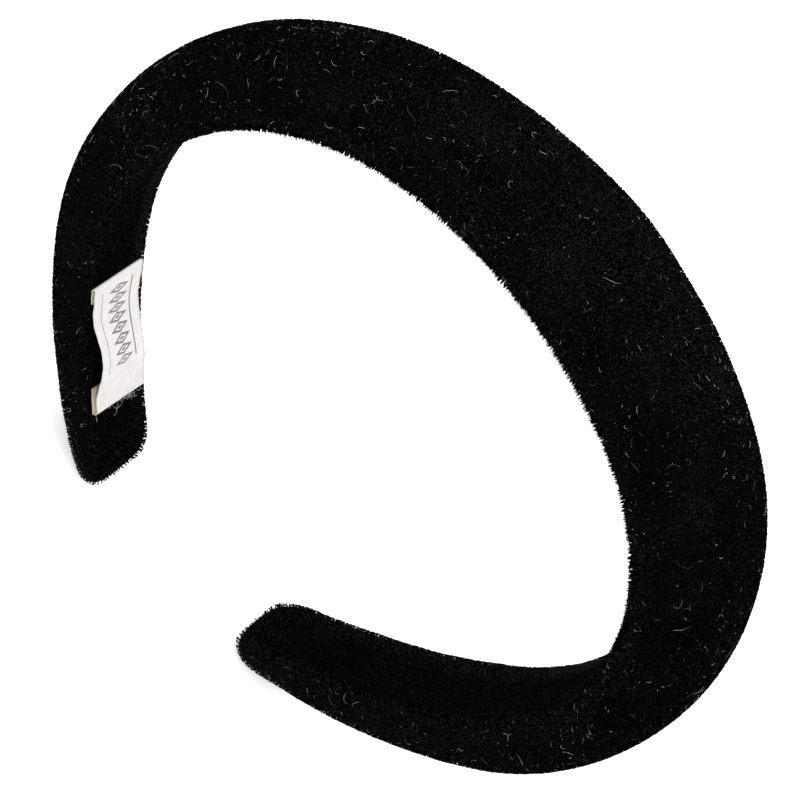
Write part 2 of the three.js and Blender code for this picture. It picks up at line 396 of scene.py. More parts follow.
def ramp(tree, value, low, high):
    """value spread so that low becomes 0 and high becomes 1."""
    node = add_node(tree, "ShaderNodeMapRange",
                    {"Value": value, "From Min": low, "From Max": high})
    return node.outputs["Result"]


def within(tree, value, centre, half):
    """1 where value is within half of centre, and 0 elsewhere."""
    found = math_node(tree, "COMPARE", value, centre)
    found.node.inputs[2].default_value = half
    return found


def add_bump(tree, shader, height, strength, depth):
    """Relief on a shader, whose depth is in metres."""
    bump = add_node(tree, "ShaderNodeBump",
                    {"Strength": strength, "Distance": depth, "Height": height})
    tree.links.new(bump.outputs[0], shader.inputs["Normal"])


def velvet_ground(name, lightest):
    """The woven ground between the rows of pile: a fine grid with brushed, uneven patches."""
    material, tree, shader = node_material(
        name, Roughness=0.9, Sheen_Weight=0.02, Sheen_Roughness=0.3,
        Sheen_Tint=VELVET_TINT, Specular_IOR_Level=0.0)
    weave = add_node(tree, "ShaderNodeUVMap", uv_map="weave").outputs["UV"]
    split = add_node(tree, "ShaderNodeSeparateXYZ", {0: weave})
    threads = []
    for axis in ("X", "Y"):
        turns = math_node(tree, "MULTIPLY", split.outputs[axis], 2 * math.pi / PITCH)
        threads.append(math_node(tree, "COSINE", turns))
    grid = math_node(tree, "MAXIMUM", *threads)
    patches = ramp(tree, noise_value(tree, 70, 3), 0.35, 0.65)
    grain = noise_value(tree, 2400, 2)
    light = math_node(tree, "MULTIPLY", ramp(tree, grid, -0.4, 1), grain)
    light = math_node(tree, "MULTIPLY", light, math_node(tree, "ADD", patches, 0.35))
    colour = mixed_colour(tree, light, (0.0008, 0.00075, 0.00078, 1), lightest)
    tree.links.new(colour, shader.inputs["Base Color"])
    rough = ramp(tree, grain, -1.5, 1.6)
    tree.links.new(rough, shader.inputs["Roughness"])
    add_bump(tree, shader, grid, strength=0.6, depth=0.00012)
    return material


def pile_material(name, colour, sheen):
    """Pile fibres. Random tone and painted light, shade and sheen lie in which fibres take which shade,
    so the shader's values are plain.
    """
    material, _, _ = node_material(
        name, Base_Color=(*colour, 1), Roughness=0.8, Specular_IOR_Level=0.0,
        Sheen_Weight=sheen, Sheen_Roughness=0.3, Sheen_Tint=VELVET_TINT)
    return material


def foam_material():
    material, tree, shader = node_material("foam_cells", Roughness=0.9)
    where = add_node(tree, "ShaderNodeTexCoord").outputs["Object"]
    cells = add_node(tree, "ShaderNodeTexVoronoi", {"Vector": where, "Scale": 1600.0})
    tone = ramp(tree, cells.outputs["Distance"], 0.0, 0.8)
    colour = mixed_colour(tree, tone, (0.42, 0.38, 0.3, 1), (0.74, 0.7, 0.6, 1))
    tree.links.new(colour, shader.inputs["Base Color"])
    add_bump(tree, shader, cells.outputs["Distance"], strength=0.5, depth=0.0002)
    return material


def core_material():
    material, tree, shader = node_material("moulded_core", Base_Color=(0.012, 0.012, 0.013, 1))
    rough = ramp(tree, noise_value(tree, 900, 4), -0.2, 1.6)
    tree.links.new(rough, shader.inputs["Roughness"])
    add_bump(tree, shader, noise_value(tree, 2600), strength=0.25, depth=0.0001)
    return material


# -------------------- the velvet cover

SETTLING_STEPS = 20
SETTLING = {
    "pin_stiffness": 5, "quality": 6, "mass": 0.15, "tension_stiffness": 25,
    "compression_stiffness": 12, "shear_stiffness": 6, "bending_stiffness": 0.4,
    "use_pressure": True, "uniform_pressure_force": PADDING_PRESSURE,
}
HELD_BEYOND_FLAT = 0.03  # how far past the flat side the cloth is held, as a share of its ring
HELD_FADE = 0.05
HELD_TIP = 16  # how far from the tip the cloth begins to be held
HELD_TIP_FADE = 10


def settle(grid):
    """The padding pushes the cloth out between the edges that the lining holds and the tips."""
    rows = len(grid["s"])
    start = grid["points"][:, :-1].reshape(-1, 3)
    cloth = new_mesh("settling_cloth", start, tube_faces(rows, AROUND), [])
    held = cloth.vertex_groups.new(name="held")
    ring = np.arange(AROUND)
    across = np.abs(np.minimum(ring, AROUND - ring)) / AROUND
    for j, s in enumerate(grid["s"]):
        flat = FLAT_SHARE * full_width(s) / 2 / (2 * grid["reach"][j])
        tip = np.clip((abs(s) - (HALF_LENGTH - HELD_TIP)) / HELD_TIP_FADE, 0, 1)
        edge = np.clip((flat + HELD_BEYOND_FLAT - across) / HELD_FADE, 0, 1)
        weights = np.maximum(edge, tip)
        for i in np.nonzero(weights > 0)[0]:
            held.add([int(j * AROUND + i)], float(weights[i]), "REPLACE")
    cloth.modifiers.new("cloth", "CLOTH")
    settings = cloth.modifiers["cloth"].settings
    settings.vertex_group_mass = "held"
    for key, value in SETTLING.items():
        setattr(settings, key, value)
    settings.effector_weights.gravity = 0
    cloth.modifiers["cloth"].collision_settings.use_collision = False
    scene = bpy.context.scene
    for step in range(1, SETTLING_STEPS + 1):
        scene.frame_set(step)
    evaluated = cloth.evaluated_get(bpy.context.evaluated_depsgraph_get())
    settled = np.zeros(len(start) * 3)
    evaluated.data.vertices.foreach_get("co", settled)
    scene.frame_set(1)
    bpy.data.objects.remove(cloth)
    moved = settled.reshape(-1, 3) - start
    far = np.linalg.norm(moved, axis=1, keepdims=True)
    moved *= np.minimum(1, SWELL * MM / np.maximum(far, 1e-9))
    points = (start + moved).reshape(rows, AROUND, 3)
    grid["points"] = np.concatenate([points, points[:, :1]], axis=1)


def tip_cap(ring, outwards):
    """Rings that close a tip: smaller and smaller, each a little further out."""
    centre = ring.mean(axis=0)
    rings = np.array([
        centre + (ring - centre) * share + outwards * bulge * MM
        for share, bulge in zip(CAP_SHARES, CAP_BULGES)
    ])
    keep_above(rings, FOOT_GROUND)
    return rings


def cover_half(name, grid, sign, material):
    """One half of the cover: its outside, its inside a wall's thickness further in, and the
    cut edge between them at the middle of the crown, where the other half goes on."""
    rows = np.nonzero(grid["s"] * sign >= 0)[0][::sign]
    outer = grid["points"][rows, :-1]
    outwards = unit(outer[-1].mean(axis=0) - outer[-4].mean(axis=0))
    outer = np.concatenate([outer, tip_cap(outer[-1], outwards)])
    inner_rows = [j for j in rows if abs(grid["s"][j]) < HALF_LENGTH - CORE_TO_TIP + 1]
    inwards = grid["normals"][inner_rows, :-1] * COVER_THICKNESS * MM
    inner = grid["points"][inner_rows, :-1] - inwards
    count = AROUND
    points = [outer.reshape(-1, 3), outer[-1:].mean(axis=1)]
    faces = tube_faces(len(outer), count, flip=sign < 0)
    last = (len(outer) - 1) * count
    centre = len(outer) * count
    for i in range(count):
        face = (last + i, last + (i + 1) % count, centre)
        faces.append(face[::-1] if sign < 0 else face)
    first = centre + 1
    points += [inner.reshape(-1, 3), inner[-1:].mean(axis=1)]
    faces += [
        tuple(first + v for v in quad)
        for quad in tube_faces(len(inner), count, flip=sign > 0)
    ]
    last = first + (len(inner) - 1) * count
    centre = first + len(inner) * count
    for i in range(count):
        k = (i + 1) % count
        end = (last + k, last + i, centre)
        edge = (k, i, first + i, first + k)
        faces.append(end[::-1] if sign < 0 else end)
        faces.append(edge[::-1] if sign < 0 else edge)
    cover = new_mesh(name, np.concatenate(points), faces, [material])
    weave_map(cover, grid, rows, len(outer), sign)
    sharpen_cut(cover)
    return cover


def weave_map(cover, grid, rows, outer_rows, sign):
    """A map in millimetres of cloth, along and round the band, that the weave is drawn on."""
    uv = cover.data.uv_layers.new(name="weave")
    count = AROUND
    along = np.zeros(outer_rows)
    along[:len(rows)] = grid["s"][rows]
    along[len(rows):] = grid["s"][rows[-1]] + sign * np.arange(1, outer_rows - len(rows) + 1)
    reach = np.full(outer_rows, grid["reach"][rows[-1]])
    reach[:len(rows)] = grid["reach"][rows]
    vertex = corner_vertices(cover.data)
    row, column = np.minimum(vertex // count, outer_rows - 1), vertex % count
    starts = np.array([p.loop_start for p in cover.data.polygons])
    totals = np.array([p.loop_total for p in cover.data.polygons])
    low = np.minimum.reduceat(column, starts)
    high = np.maximum.reduceat(column, starts)
    face_wraps = np.repeat((low == 0) & (high == count - 1), totals)
    column = np.where(face_wraps & (column == 0), count, column)
    coords = np.stack([(column / count - 0.5) * 2 * reach[row], along[row]], axis=1)
    uv.data.foreach_set("uv", coords.ravel())


def sharpen_cut(piece):
    """Edges in the plane at the middle of the crown are sharp, so both halves shade as one."""
    mesh = piece.data
    co = np.zeros(len(mesh.vertices) * 3)
    mesh.vertices.foreach_get("co", co)
    at_cut = np.abs(co.reshape(-1, 3)[:, 0]) < 1e-6
    ends = np.zeros(len(mesh.edges) * 2, int)
    mesh.edges.foreach_get("vertices", ends)
    sharp = at_cut[ends.reshape(-1, 2)].all(axis=1)
    mesh.attributes.new("sharp_edge", "BOOLEAN", "EDGE").data.foreach_set("value", sharp)


# -------------------- the pile

def pile_rows(sign):
    """The rows of pile along one half: closer on the line than on the padding, whose curve
    spreads them to the pitch that they were woven at."""
    s, rows = PITCH / 4, []
    while s < HALF_LENGTH - 0.3:
        rows.append(s * sign)
        angle_left, radius = s, ARCS[-1][0]
        for arc_radius, turn in ARCS:
            if angle_left < arc_radius * turn:
                radius = arc_radius
                break
            angle_left -= arc_radius * turn
        spread = (radius + 0.7 * full_height(s)) / radius
        s += PITCH / spread
    return np.array(rows)


def near(value, middle, width):
    """1 at the middle, falling softly to 0 beyond the width on either side."""
    return np.exp(-((value - middle) / width) ** 2)


def on_top(w):
    """1 along the top of the padding, a little in front of its middle, and 0 down its sides."""
    return near(w, *TOP_ROUND)


def pile_spots(grid, sign, rng):
    """Where the tufts stand on one half of the cover, as s and w, in woven rows and columns."""
    rows = pile_rows(sign)
    reach = np.interp(rows, grid["s"], grid["reach"])
    hidden = np.array([0.5 * FLAT_SHARE * full_width(s) - LINING_INSET - 1.2 for s in rows])
    hidden[np.abs(rows) > HALF_LENGTH - LINING_TO_TIP] = 0
    columns = np.arange(-90, 90) * PITCH + PITCH / 2
    s, w = np.meshgrid(rows, columns, indexing="ij")
    keep = np.abs(w) < (reach - hidden)[:, None]
    s, w = s[keep], w[keep]
    jitter = PITCH * (0.15 + 0.35 * (1 - on_top(w)))
    return s + rng.uniform(-jitter, jitter, len(s)), w + rng.uniform(-jitter, jitter, len(w))


def brushed(points, scale, offset):
    """A soft field from about -1 to 1 that brushes the pile this way and that."""
    shift = Vector((offset, 0.3 * offset, 0.7 * offset))
    return np.array([noise.noise(Vector(p) * scale + shift) for p in points])


def tufts(name, roots, normals, leans, heights, widths, spiky, materials, tones, pale, rng):
    """The pile as closed four-faced tufts. Most are narrow at the root and splay at the top, as a
    cut bundle of fibres does; a spiky one is a single upright spike of fibre. Many tufts have their
    sides painted paler than their tops: a painted sheen, as velvet looks darkest end-on."""
    count = len(roots)
    across = unit(np.cross(normals, unit(rng.normal(size=(count, 3)))))
    other = np.cross(normals, across)
    axis = unit(normals + leans)
    spike = spiky[:, None]
    sunk = roots - normals * TUFT_ROOT * MM
    tops = roots + axis * heights[:, None] * MM
    corners = []
    for k in range(3):
        a = 2 * math.pi * k / 3
        side = across * math.cos(a) + other * math.sin(a)
        ragged = axis * rng.uniform(-0.1, 0.05, (count, 1)) * MM
        splayed = tops + side * widths[:, None] * MM + ragged
        slim = sunk + side * SPIKE_WIDTH * MM
        corners.append(np.where(spike, slim, splayed))
    ends = np.where(spike, tops + axis * SPIKE_TIP * MM, sunk)
    points = np.stack([*corners, ends], axis=1)
    keep_above(points, PILE_OVER_FLOOR)
    first = 4 * np.arange(count)[:, None, None]
    as_spike = np.array([[0, 2, 1], [0, 1, 3], [1, 2, 3], [2, 0, 3]])[None]
    faces = np.where(spike[..., None], as_spike, as_spike[..., ::-1]) + first
    piece = new_mesh(name, points, faces.reshape(-1, 3), materials, smooth=False)
    # Painted sheen: these tufts take the palest shade on their sides.
    sheen_sided = (rng.random(count) < pale) & ~spiky
    sides = np.where(sheen_sided, len(materials) - 1, tones)
    shades = np.stack([tones, sides, sides, sides], axis=1)
    piece.data.polygons.foreach_set("material_index", shades.ravel())
    return piece


def pile_tones(light, rng):
    """Which of the three shades each tuft takes: paler ones where light is near 1, be it painted light
    or random tone.
    """
    drawn = rng.random(len(light))
    softer = (drawn < 0.4 + 0.45 * light).astype(int)
    palest = (drawn < 0.08 + 0.5 * light).astype(int)
    return softer + palest


def cover_pile(side, grid, materials):
    """The pile of one half of the cover, as a front and a back piece."""
    sign = SIDES[side]
    rng = np.random.default_rng(PILE_SEED + sign)
    s, w = pile_spots(grid, sign, rng)
    roots, normals, along, around = on_cloth(grid, s, w)
    reach = np.interp(s, grid["s"], grid["reach"])
    flat = np.array([flat_half(a) for a in s])
    from_flat = reach - np.abs(w) - flat
    fold = near(from_flat, *FOLD_UP) * np.exp(-(s / FOLD_END) ** 4)
    beside_lining = np.clip(1 - from_flat / 2.5, 0, 1)
    beside_lining = beside_lining * np.where(np.abs(s) < HALF_LENGTH - LINING_TO_TIP + 0.5, 1, 0.4)
    nap = 0.2 + 0.2 * brushed(roots, 60, 3.1)
    turn = 1.2 * brushed(roots, 38, 9.4)
    lean = along * (nap * np.cos(turn))[:, None] + around * (nap * np.sin(turn))[:, None]
    lean = lean * (1 - 0.8 * fold)[:, None] + rng.normal(0, 0.09, (len(s), 3))
    spiky = rng.random(len(s)) < 0.08 + 0.75 * fold
    height = PILE * rng.uniform(0.85, 1.1, len(s)) * (1 + (0.15 + 1.15 * fold) * spiky)
    height = height + 0.6 * beside_lining
    width = rng.uniform(*TUFT_WIDTHS, len(s))
    patches = 0.45 * brushed(roots, 55, 21.7) + 0.35 * brushed(roots, 160, 4.4)
    # Painted light: paler pile along the top of the crown.
    painted_crown_light = on_top(w) * near(s, *PAINTED_LIGHT_CROWN_ALONG)
    # Painted shade: darker pile on the left shoulder, except at its low edge.
    painted_shoulder_shade = near(s, *PAINTED_SHADE_SHOULDER_ALONG)
    low_edge = near(from_flat, *LOW_EDGE_UP)
    # Painted light: paler pile along the back low edge at both shoulders.
    painted_lit_back = low_edge * (w < 0) * near(np.abs(s), *PAINTED_LIGHT_BACK_ALONG)
    light = painted_crown_light + patches - 0.1 - 0.9 * painted_shoulder_shade * (1 - low_edge)
    # The fold's fringe is painted paler as well: a painted sheen on that rim.
    light = np.clip(light + 1.2 * painted_lit_back + 0.4 * fold, -0.85, 1)
    tones = pile_tones(light - 0.2 * spiky, rng)
    # Painted sheen: more tufts with pale sides near the low edge and the lit back.
    pale = PAINTED_SHEEN_SIDES + 0.6 * low_edge + 0.25 * painted_lit_back
    made = []
    for part, chosen in (("front", w > 0), ("back", w <= 0)):
        made.append(tufts(f"velvet_pile_{side}_{part}", roots[chosen], normals[chosen],
                          lean[chosen], height[chosen], width[chosen], spiky[chosen],
                          materials, tones[chosen], pale[chosen], rng))
    return made


# -------------------- the layers under the cover

def half_loft(name, outline, sign, end, materials):
    """A closed solid from the middle of the crown to end, through outline(s) as (y, r) points."""
    steps = np.linspace(0, end, 1 + int(end / 2.5)) * sign
    sections = [outline(s) for s in steps]
    count = len(sections[0][0])
    points = np.array([place(s, y, r) for s, (y, r) in zip(steps, sections)])
    faces = tube_faces(len(steps), count, flip=sign < 0)
    last = (len(steps) - 1) * count
    caps = [tuple(range(count - 1, -1, -1)), tuple(range(last, last + count))]
    faces += [cap[::-1] if sign < 0 else cap for cap in caps]
    piece = new_mesh(name, points, faces, materials)
    sharpen_cut(piece)
    return piece


def soft_strip(half, low, high, rounding):
    """A strip's section with rolled edges, counterclockwise from its head side."""
    y, r = [], []
    for cy, cr, start in ((half, low, -90), (half, high, 0), (-half, high, 90), (-half, low, 180)):
        cy -= math.copysign(rounding, cy)
        cr += rounding if cr == low else -rounding
        for turn in np.radians(start + np.linspace(0, 90, 5)):
            y.append(cy + rounding * math.cos(turn))
            r.append(cr + rounding * math.sin(turn))
    return np.array(y), np.array(r)


def lining_outline(s):
    return soft_strip(flat_half(s) - LINING_INSET, LINING_LOW, LINING_HIGH, 0.4)


def core_outline(s):
    return soft_strip(flat_half(s) - CORE_INSET, CORE_LOW, CORE_HIGH, 0.3)


def foam_outline(s):
    """The cover's shape a wall's thickness and a little further in, cut flat where the core is."""
    y, r = half_outline(s, SINK + COVER_THICKNESS + 0.3)
    keep = r > FOAM_BASE
    y, r, _ = evenly(np.append(np.interp(FOAM_BASE, r[:60], y[:60]), y[keep]),
                     np.append(FOAM_BASE, r[keep]), 20)
    return np.concatenate([y, -y[-2::-1]]), np.concatenate([r, r[-2::-1]])


def lining_pile(side, materials):
    """Short velvet pile over the head side and the edges of the lining."""
    sign = SIDES[side]
    rng = np.random.default_rng(LINING_PILE_SEED + sign)
    rows = np.arange(PITCH / 4, HALF_LENGTH - LINING_TO_TIP, PITCH) * sign
    columns = np.arange(-24, 24) * PITCH + PITCH / 2
    s, q = np.meshgrid(rows, columns, indexing="ij")
    half = np.array([flat_half(a) - LINING_INSET for a in rows])[:, None] + 0 * s
    keep = np.abs(q) < half + LINING_HIGH - LINING_LOW
    s, q, half = s[keep], q[keep], half[keep]
    s = s + rng.uniform(-0.1, 0.1, len(s))
    q = q + rng.uniform(-0.1, 0.1, len(s))
    y = np.clip(q, -half, half)
    r = LINING_LOW + np.maximum(np.abs(q) - half, 0)
    roots = place(s, y, r)
    inwards = unit(place(s, y, r - 1) - roots)
    sideways = np.clip((np.abs(q) - half + 0.6) / 1.0, 0, 1)[:, None]
    normals = inwards * (1 - 0.9 * sideways) + np.sign(y)[:, None] * sideways * [[0, 1, 0]]
    normals = unit(normals)
    lean = rng.normal(0, 0.12, (len(s), 3))
    height = LINING_PILE * rng.uniform(0.8, 1.1, len(s))
    back_edge = np.clip((q / half - 0.3) / 0.6, 0, 1)
    # Painted light: paler pile, and more tufts with pale sides as a painted sheen, along the lining's
    # back edge.
    painted_lit_back = back_edge * (0.35 + 0.65 * near(np.abs(s), *PAINTED_LIGHT_LINING_ALONG))
    light = np.clip(0.3 * brushed(roots, 70, 5.5) - 0.3 + 1.8 * painted_lit_back, -0.85, 1.1)
    return tufts(f"lining_pile_{side}", roots, normals, lean, height,
                 rng.uniform(*LINING_TUFT_WIDTHS, len(s)), rng.random(len(s)) < 0.1, materials,
                 pile_tones(light, rng), PAINTED_SHEEN_SIDES + 0.8 * painted_lit_back, rng)


# -------------------- the ribbon label

def fold_line(fold, skew):
    """A folded end, from its free end to the turn: distance from the label's end, height off
    the lining, and how far it is shifted to the front."""
    turn = LABEL_PLY
    line = [(u, LABEL_UNDER, skew * (1 - 0.2 * u / fold)) for u in np.linspace(fold, turn, FOLD_POINTS)]
    for a in np.linspace(0, math.pi, 7)[1:-1]:
        line.append((turn - turn * math.sin(a), LABEL_UNDER + turn * (1 - math.cos(a)), 0.5 * skew))
    return line


def label_line():
    """The label's line from the free end of its crown fold, over its face, to that of its tip
    fold, and how many of its points belong to a folded end."""
    crown_fold = fold_line(LABEL_CROWN_FOLD, LABEL_CROWN_SKEW)
    tip_fold = fold_line(LABEL_TIP_FOLD, LABEL_TIP_SKEW)
    face = [(u, LABEL_UNDER + 2 * LABEL_PLY, 0)
            for u in np.linspace(LABEL_PLY, LABEL_LENGTH - LABEL_PLY, 61)]
    tip_fold = [(LABEL_LENGTH - u, height, shift) for u, height, shift in tip_fold[::-1]]
    return np.array(crown_fold + face + tip_fold), len(crown_fold)


def label_bow(along, across):
    """How far the face stands off the lining: its front edge buckles, and its back edge lies
    pressed into the pile before it rises too."""
    to_back = across + 0.5
    start = LABEL_BOW_FROM + LABEL_BOW_LATER * to_back
    share = np.clip((along - start) / (LABEL_BOW_TO - start), 0, 1)
    bow = LABEL_BOW * (1 - LABEL_BOW_LOSS * to_back) * np.sin(math.pi * share ** LABEL_BOW_SKEW) ** 2
    dent_share = np.clip((along - 0.03) / 0.55, 0, 1)
    return bow - LABEL_DENT * to_back ** 2 * np.sin(math.pi * dent_share) ** 2


def ribbon_label(materials):
    """A narrow woven ribbon with both ends folded under, its free middle buckled off the lining."""
    line, in_fold = label_line()
    u, height, shift = line.T
    du, dh = np.gradient(u), np.gradient(height)
    length = np.maximum(np.hypot(du, dh), 1e-9)
    across = np.linspace(-0.5, 0.5, 21)
    on_face = np.zeros((len(u), 1))
    on_face[in_fold:-in_fold] = 1
    bow = on_face * label_bow((u / LABEL_LENGTH)[:, None], across[None])
    wander, wander_often = LABEL_WAVE
    lift, lift_often = LABEL_RIPPLE
    layers = []
    for offset in (-0.5, 0.5):
        uu = (u - offset * LABEL_PLY * dh / length)[:, None] + LABEL_SHEAR * across[None]
        hh = (height + offset * LABEL_PLY * du / length)[:, None] + bow
        rim = np.abs(across * 2) ** 6
        swing = LABEL_SWING * (u / LABEL_LENGTH - 0.5)
        y = LABEL_Y + across[None] * LABEL_WIDTH + (swing - shift)[:, None]
        y = y + wander * np.sin(uu * wander_often)
        raised = hh + lift * np.sin(uu * lift_often + 1) * rim[None]
        s = -(HALF_LENGTH - LABEL_TO_TIP - LABEL_LENGTH + uu)
        layers.append(place(s, y, -raised))
    rows, columns = layers[0].shape[:2]
    first = rows * columns
    faces, kinds = [], []

    def add(quad, i):
        faces.append(quad)
        # The flat of each folded end takes the second material, its painted shade.
        kinds.append(0 if FOLD_POINTS - 1 <= i < rows - FOLD_POINTS else 1)

    for i in range(rows - 1):
        for j in range(columns - 1):
            a = i * columns + j
            quad = (a, a + 1, a + 1 + columns, a + columns)
            add(quad[::-1], i)
            add(tuple(first + v for v in quad), i)
        for j, turned in ((0, False), (columns - 1, True)):
            a = i * columns + j
            edge = (a, a + columns, first + a + columns, first + a)
            add(edge[::-1] if turned else edge, i)
    for i, turned in ((0, True), (rows - 1, False)):
        for j in range(columns - 1):
            a = i * columns + j
            edge = (a, a + 1, first + a + 1, first + a)
            add(edge[::-1] if turned else edge, i)
    label = new_mesh("woven_ribbon_label", np.concatenate(layers), faces, materials)
    label.data.polygons.foreach_set("material_index", kinds)
    uv = label.data.uv_layers.new(name="ribbon")
    vertex = corner_vertices(label.data)
    row, column = (vertex % first) // columns, vertex % columns
    middle = height + bow[:, len(across) // 2]
    run = np.concatenate([[0], np.cumsum(np.hypot(np.diff(u), np.diff(middle)))])
    coords = np.stack([(column / (columns - 1)) * LABEL_WIDTH, run[row]], axis=1)
    uv.data.foreach_set("uv", coords.ravel())
    return label, run[-1]


def ribbon_material(run):
    """White satin weave with a generic woven ornament: a row of lozenges and two fine rules."""
    material, tree, shader = node_material(
        "ribbon_satin", Roughness=0.5, Sheen_Weight=0.15, Sheen_Roughness=0.4,
        Specular_IOR_Level=0.3)
    place_on = add_node(tree, "ShaderNodeUVMap", uv_map="ribbon").outputs["UV"]
    split = add_node(tree, "ShaderNodeSeparateXYZ", {0: place_on})
    x, y = split.outputs["X"], split.outputs["Y"]
    weft = math_node(tree, "SINE", math_node(tree, "MULTIPLY", y, 2 * math.pi / 0.28))
    warp = math_node(tree, "SINE", math_node(tree, "MULTIPLY", x, 2 * math.pi / 0.22))
    weave = math_node(tree, "MULTIPLY", weft, warp)
    mottle = noise_value(tree, 500, 3)
    cloth = mixed_colour(tree, mottle, (0.55, 0.52, 0.51, 1), (0.72, 0.69, 0.68, 1))
    ornament_half = ORNAMENT_ROWS / 2 * ORNAMENT_PITCH
    first_row = LABEL_CROWN_FOLD + 0.08 * LABEL_LENGTH
    from_first = math_node(tree, "SUBTRACT", y, first_row)
    row = math_node(tree, "FRACT", math_node(tree, "DIVIDE", from_first, ORNAMENT_PITCH))
    row = math_node(tree, "SUBTRACT", row, 0.5)
    tall = math_node(tree, "MULTIPLY", math_node(tree, "ABSOLUTE", row), ORNAMENT_PITCH)
    aside = math_node(tree, "ABSOLUTE", math_node(tree, "SUBTRACT", x, ORNAMENT_MIDDLE))
    wide = math_node(tree, "MULTIPLY", aside, ORNAMENT_LENGTHENING)
    reach = math_node(tree, "ADD", tall, wide)
    outline = within(tree, reach, 0.95, 0.26)
    heart = math_node(tree, "LESS_THAN", reach, 0.36)
    marks = math_node(tree, "MAXIMUM", outline, heart)
    for at, half in ORNAMENT_RULES:
        marks = math_node(tree, "MAXIMUM", marks, within(tree, x, at, half))
    decorated = within(tree, y, first_row + ornament_half, ornament_half)
    marks = math_node(tree, "MULTIPLY", marks, decorated)
    marks = math_node(tree, "MULTIPLY", marks, 0.85)
    colour = mixed_colour(tree, marks, cloth, (0.06, 0.055, 0.055, 1))
    tree.links.new(colour, shader.inputs["Base Color"])
    rough = ramp(tree, weave, -3.0, 2.4)
    tree.links.new(rough, shader.inputs["Roughness"])
    add_bump(tree, shader, weave, strength=0.35, depth=0.00004)
    return material


def painted_fold_shade_material():
    """The ribbon's folded ends, painted beige: a painted shade between the folded layers."""
    material, tree, shader = node_material("ribbon_fold_painted_shade", Roughness=0.75, Sheen_Weight=0.1)
    mottle = noise_value(tree, 700, 3)
    colour = mixed_colour(tree, mottle, (0.42, 0.35, 0.24, 1), (0.62, 0.55, 0.43, 1))
    tree.links.new(colour, shader.inputs["Base Color"])
    return material


# -------------------- lint and loose threads

def fibres(name, paths, radius, materials, rng):
    """Thin closed fibres along paths, an array of (fibre, point, xyz) in metres."""
    count, steps = paths.shape[:2]
    tangent = unit(np.gradient(paths, axis=1))
    side = unit(np.cross(tangent, unit(rng.normal(size=(count, 1, 3)))))
    other = np.cross(tangent, side)
    swelling = np.sin(np.linspace(0.15, math.pi - 0.15, steps))
    thin = radius * MM * (0.35 + 0.65 * swelling)[None, :, None]
    rings = []
    for k in range(3):
        a = 2 * math.pi * k / 3
        rings.append(paths + (side * math.cos(a) + other * math.sin(a)) * thin)
    points = np.stack(rings, axis=2)
    quads = []
    for i in range(steps - 1):
        for k in range(3):
            j = (k + 1) % 3
            quads.append([3 * i + k, 3 * i + j, 3 * i + 3 + j, 3 * i + 3 + k])
    first = 3 * steps * np.arange(count)[:, None, None]
    quads = (np.array(quads)[None] + first).reshape(-1, 4)
    last = 3 * (steps - 1)
    ends = (np.array([[0, 2, 1], [last, last + 1, last + 2]])[None] + first).reshape(-1, 3)
    piece = new_mesh(name, points, quads.tolist() + ends.tolist(), materials)
    per_quad = np.repeat(rng.integers(0, len(materials), count), 3 * (steps - 1))
    shades = np.concatenate([per_quad, np.zeros(len(ends), int)])
    piece.data.polygons.foreach_set("material_index", shades)
    return piece


def lint(side, grid, materials, count):
    """Curled lint caught on the pile of one half of the cover."""
    sign = SIDES[side]
    rng = np.random.default_rng(LINT_SEED + sign)
    steps = 6
    s = rng.uniform(1.5, HALF_LENGTH - 5, count) * sign
    reach = np.interp(s, grid["s"], grid["reach"])
    w = rng.uniform(-1, 1, count) * (reach - 8)
    length = np.clip(rng.lognormal(-0.55, 0.8, count), 0.22, 3.2)
    heading = rng.uniform(0, 2 * math.pi, count)
    curl = rng.normal(0, 1.9, (count, 1))
    share = np.linspace(0, 1, steps)[None]
    wander = rng.normal(0, 0.35, (count, steps)).cumsum(axis=1) * 0.6
    turn = heading[:, None] + curl * share + wander
    step = length[:, None] / (steps - 1)
    ss = s[:, None] + np.cumsum(np.cos(turn) * step, axis=1)
    ww = w[:, None] + np.cumsum(np.sin(turn) * step, axis=1)
    ss = sign * np.maximum(ss * sign, 0.2)
    points, normals, _, _ = on_cloth(grid, ss.ravel(), ww.ravel())
    rise = PILE + rng.uniform(-0.1, 0.15, (count, 1)) + 0.15 * np.sin(share * math.pi)
    paths = (points + normals * rise.reshape(-1, 1) * MM).reshape(count, steps, 3)
    keep_above(paths, LINT_OVER_FLOOR)
    return fibres(f"lint_{side}", paths, 0.025, materials, rng)


def label_threads(material):
    """Thin white threads that have frayed from the label's lower end, lying on the lining."""
    rng = np.random.default_rng(THREADS_SEED)
    steps, count = 18, 26
    length = np.clip(rng.lognormal(0.75, 0.6, (count, 1)), 1.0, 7.5)
    start = np.where(rng.random((count, 1)) < 0.6, rng.uniform(-1, 5.5, (count, 1)),
                     rng.uniform(-8, 5.5, (count, 1)))
    heading = rng.normal(0, 0.9, (count, 1))
    curl = rng.normal(0, 2.2, (count, 1)) * np.linspace(0, 1, steps)[None]
    wander = rng.normal(0, 0.35, (count, steps)).cumsum(axis=1) * 0.5
    turn = heading + curl + wander
    step = length / (steps - 1)
    label_end = HALF_LENGTH - LABEL_TO_TIP
    s = label_end - 0.3 + np.cumsum(np.cos(turn) * step, axis=1)
    s = s + LABEL_SHEAR * start / LABEL_WIDTH
    s = np.clip(s, label_end - 0.6, HALF_LENGTH - LINING_TO_TIP - 1.5)
    y = np.clip(start + np.cumsum(np.sin(turn) * step, axis=1), -8.2, 7.0)
    arch = np.sin(np.linspace(0, math.pi, steps))[None]
    r = -0.1 - rng.uniform(0, 0.3, (count, 1)) - 0.2 * arch
    return fibres("label_threads", place(-s, y, r), 0.03, [material], rng)


